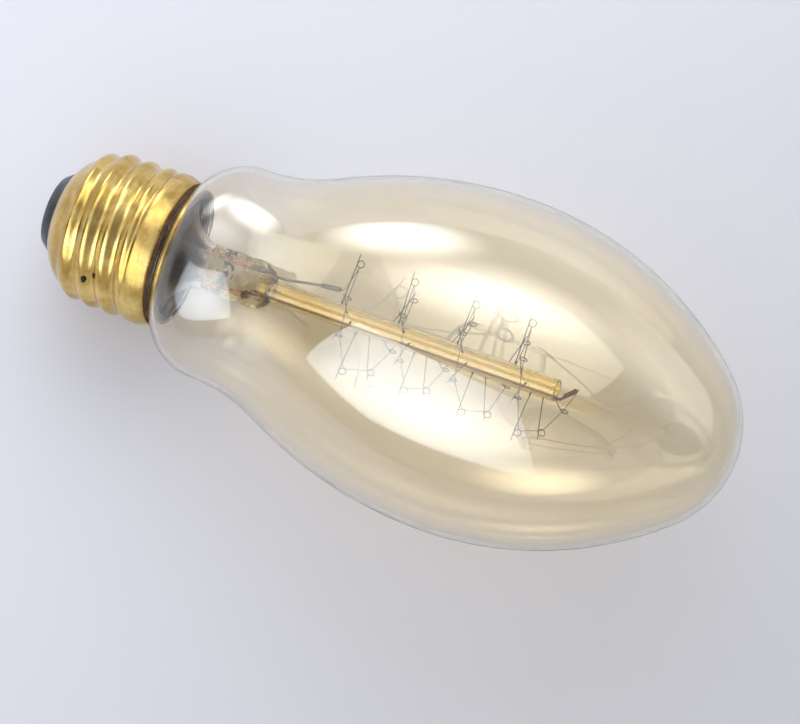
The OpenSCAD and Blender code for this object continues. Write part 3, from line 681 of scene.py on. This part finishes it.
near_tip = near_clamp_from + near_clamp_len * near_clamp_way
far_tip = far_clamp_from + far_clamp_len * far_clamp_way
strung = [near_tip - 0.4 * near_clamp_way, near_tip + 0.55 * near_clamp_way]
for i in range(support_count):
    for a in [-60, 0] if i == 0 else [0, 60] if i == support_count - 1 else [0]:
        strung.append(on_support(i, loop_reach - loop_r + bend_reach * math.cos(math.radians(a)), loop_r,
                                 loop_pitch / 4 + bend_reach * sine(a)))
strung += [far_tip + 0.55 * far_clamp_way, far_tip - 0.4 * far_clamp_way]
drawn("filament_strung", [(rounded(strung, 1), filament_d)], filament_carbon, "filament_carbon", "filament", sides=2)

# Camera, as the photo was taken: from above, a little behind the near side
azimuth, elevation, camera_mm = math.radians(21.236), math.radians(85.999), (25.92, -60.48, 895.08)
right = Vector((math.cos(azimuth), math.sin(azimuth), 0))
back = Vector((
    math.sin(azimuth) * math.cos(elevation), -math.cos(azimuth) * math.cos(elevation), math.sin(elevation)))
up = back.cross(right)
lens = bpy.data.cameras.new("camera")
lens.lens, lens.sensor_width, lens.clip_start, lens.clip_end = 238.1, 36, 0.05, 20
camera = bpy.data.objects.new("camera", lens)
camera.matrix_world = Matrix.Translation(Vector(camera_mm) / 1000) @ Matrix((
    (right.x, up.x, back.x, 0), (right.y, up.y, back.y, 0), (right.z, up.z, back.z, 0), (0, 0, 0, 1)))
bpy.context.scene.collection.objects.link(camera)
bpy.context.scene.camera = camera


# Table, panels and studio
def direction(facing, height):
    """The way to a place in the room, from its angle round the lamp and above the table in degrees."""
    a, e = math.radians(facing), math.radians(height)
    return Vector((math.cos(a) * math.cos(e), math.sin(a) * math.cos(e), math.sin(e)))


def staged(name, corners, material):
    """A flat face of the stage, which faces up before it is placed."""
    shape = bmesh.new()
    bmesh.ops.contextual_create(shape, geom=[shape.verts.new(c) for c in corners])
    for face in shape.faces:
        face.normal_update()
        if face.normal.z < 0:
            face.normal_flip()
    mesh = bpy.data.meshes.new(name)
    shape.to_mesh(mesh)
    shape.free()
    mesh.materials.append(material)
    thing = bpy.data.objects.new(name, mesh)
    bpy.context.scene.collection.objects.link(thing)
    return thing


def table_top():
    """A pale table, with painted shade that darkens it towards the lower right of the picture."""
    material, board = finish("table")
    place = board.add("ShaderNodeTexCoord", out="Object")
    down = (right - up).normalized()
    across = board.add("ShaderNodeVectorMath", {"operation": "DOT_PRODUCT"}, {0: place, 1: down}, out="Value")
    # Painted shade: the colour falls from pale to grey along the picture's diagonal, as the light falls off
    colour = board.tinted(board.between(across, -0.11, 0.145), (0.90, 0.91, 0.98), (0.63, 0.63, 0.66))
    board.surface(board.principled(colour, 0.65, Specular_IOR_Level=0.15))
    return material


staged("table", [(-3, -3, 0), (3, -3, 0), (3, 3, 0), (-3, 3, 0)], table_top())


def panel(name, facing, height, distance, corners, colour, strength, fade, lights=True):
    """A lit panel that faces the lamp. Its corners are in metres, to the side and up, from its middle.

    fade is how far it reaches to the side and up before it is at its weakest, and how strong it still is there.
    """
    way, side = direction(facing, height), direction(facing + 90, 0)
    top = way.cross(side)
    material, board = finish(name)
    place = board.add("ShaderNodeTexCoord", out="Object")
    reach = board.add("ShaderNodeVectorMath", {"operation": "LENGTH"},
                      {0: board.stretched(place, (1 / fade[0], 1 / fade[1], 1))}, out="Value")
    front = 1 - board.add("ShaderNodeNewGeometry", out="Backfacing")
    level = front * (board.between(reach, 1.0, 0.0, fade[2], 1.0) * strength)
    light = board.add("ShaderNodeEmission", None, {"Color": colour, "Strength": level})
    # It hides nothing that is behind it, so that its soft edge fades into the room
    board.surface(board.add("ShaderNodeAddShader", None, {0: light, 1: board.add("ShaderNodeBsdfTransparent")}))
    thing = staged(name, [(x, y, 0) for x, y in corners], material)
    middle = way * distance
    thing.matrix_world = Matrix((
        (side.x, -top.x, -way.x, middle.x), (side.y, -top.y, -way.y, middle.y), (side.z, -top.z, -way.z, middle.z),
        (0, 0, 0, 1)))
    thing.visible_camera = False
    thing.visible_diffuse = lights


softbox = [(-0.33, 0.36), (-0.59, -0.18), (0.20, -0.59), (0.50, -0.29), (0.88, 0.11), (0.43, 0.215), (0.06, 0.37)]
wide = [(-0.9, -0.5), (0.9, -0.5), (0.9, 0.5), (-0.9, 0.5)]
low = [(-0.6, -0.5), (0.6, -0.5), (0.6, 0.19), (-0.6, 0.19)]
panel("softbox", -124, 42, 0.8, softbox, (0.74, 0.85, 1.0), 3.0, (1.0, 0.8, 0.05), lights=False)
panel("key_light", 108, 45, 1.0, wide, (0.98, 0.98, 1.0), 2.8, (0.88, 0.49, 0.0))
panel("low_light", 126, 11, 1.0, low, (0.95, 0.98, 1.0), 5.0, (0.42, 0.34, 0.0), lights=False)

# The room by height, and its pale screens and dark corners: facing, height, degrees from their middle to which they
# are full and at which they end, share and colour
room_colours = [(0.0, (0.62, 0.60, 0.59)), (0.45, (0.63, 0.62, 0.62)), (0.9, (0.82, 0.83, 0.90))]
screens = [
    (100, 20, 25, 80, 0.8, (0.70, 0.74, 0.80)),
    (38, 12, 8, 40, 0.8, (1.2, 1.22, 1.3)),
    (-8, 68, 12, 42, 0.75, (0.20, 0.19, 0.18)),
    (200, 50, 15, 60, 0.7, (1.0, 1.03, 1.12)),
    (-164, 17, 8, 24, 0.85, (0.08, 0.07, 0.06)),
    (-85, 34, 5, 22, 0.6, (0.95, 0.94, 0.92)),
]
backdrop = (0.74, 0.74, 0.80)


def studio():
    world = bpy.data.worlds.new("studio")
    bpy.context.scene.world = world
    board = Board(world)
    way = board.add("ShaderNodeTexCoord", out="Generated")
    colour = board.add("ShaderNodeValToRGB", {"stops": room_colours}, {0: board.height(way)})
    for facing, height, full, none, share, tone in screens:
        near = board.add("ShaderNodeVectorMath", {"operation": "DOT_PRODUCT"}, {0: way, 1: direction(facing, height)},
                         out="Value")
        fade = board.between(near, math.cos(math.radians(none)), math.cos(math.radians(full)))
        colour = board.tinted(fade * share, colour, tone)
    seen = board.add("ShaderNodeLightPath", out="Is Camera Ray")
    room = board.add("ShaderNodeBackground", None, {"Color": board.tinted(seen, colour, backdrop), "Strength": 1.0})
    board.surface(room, "ShaderNodeOutputWorld")


studio()
bpy.context.scene.view_settings.view_transform = "Standard"
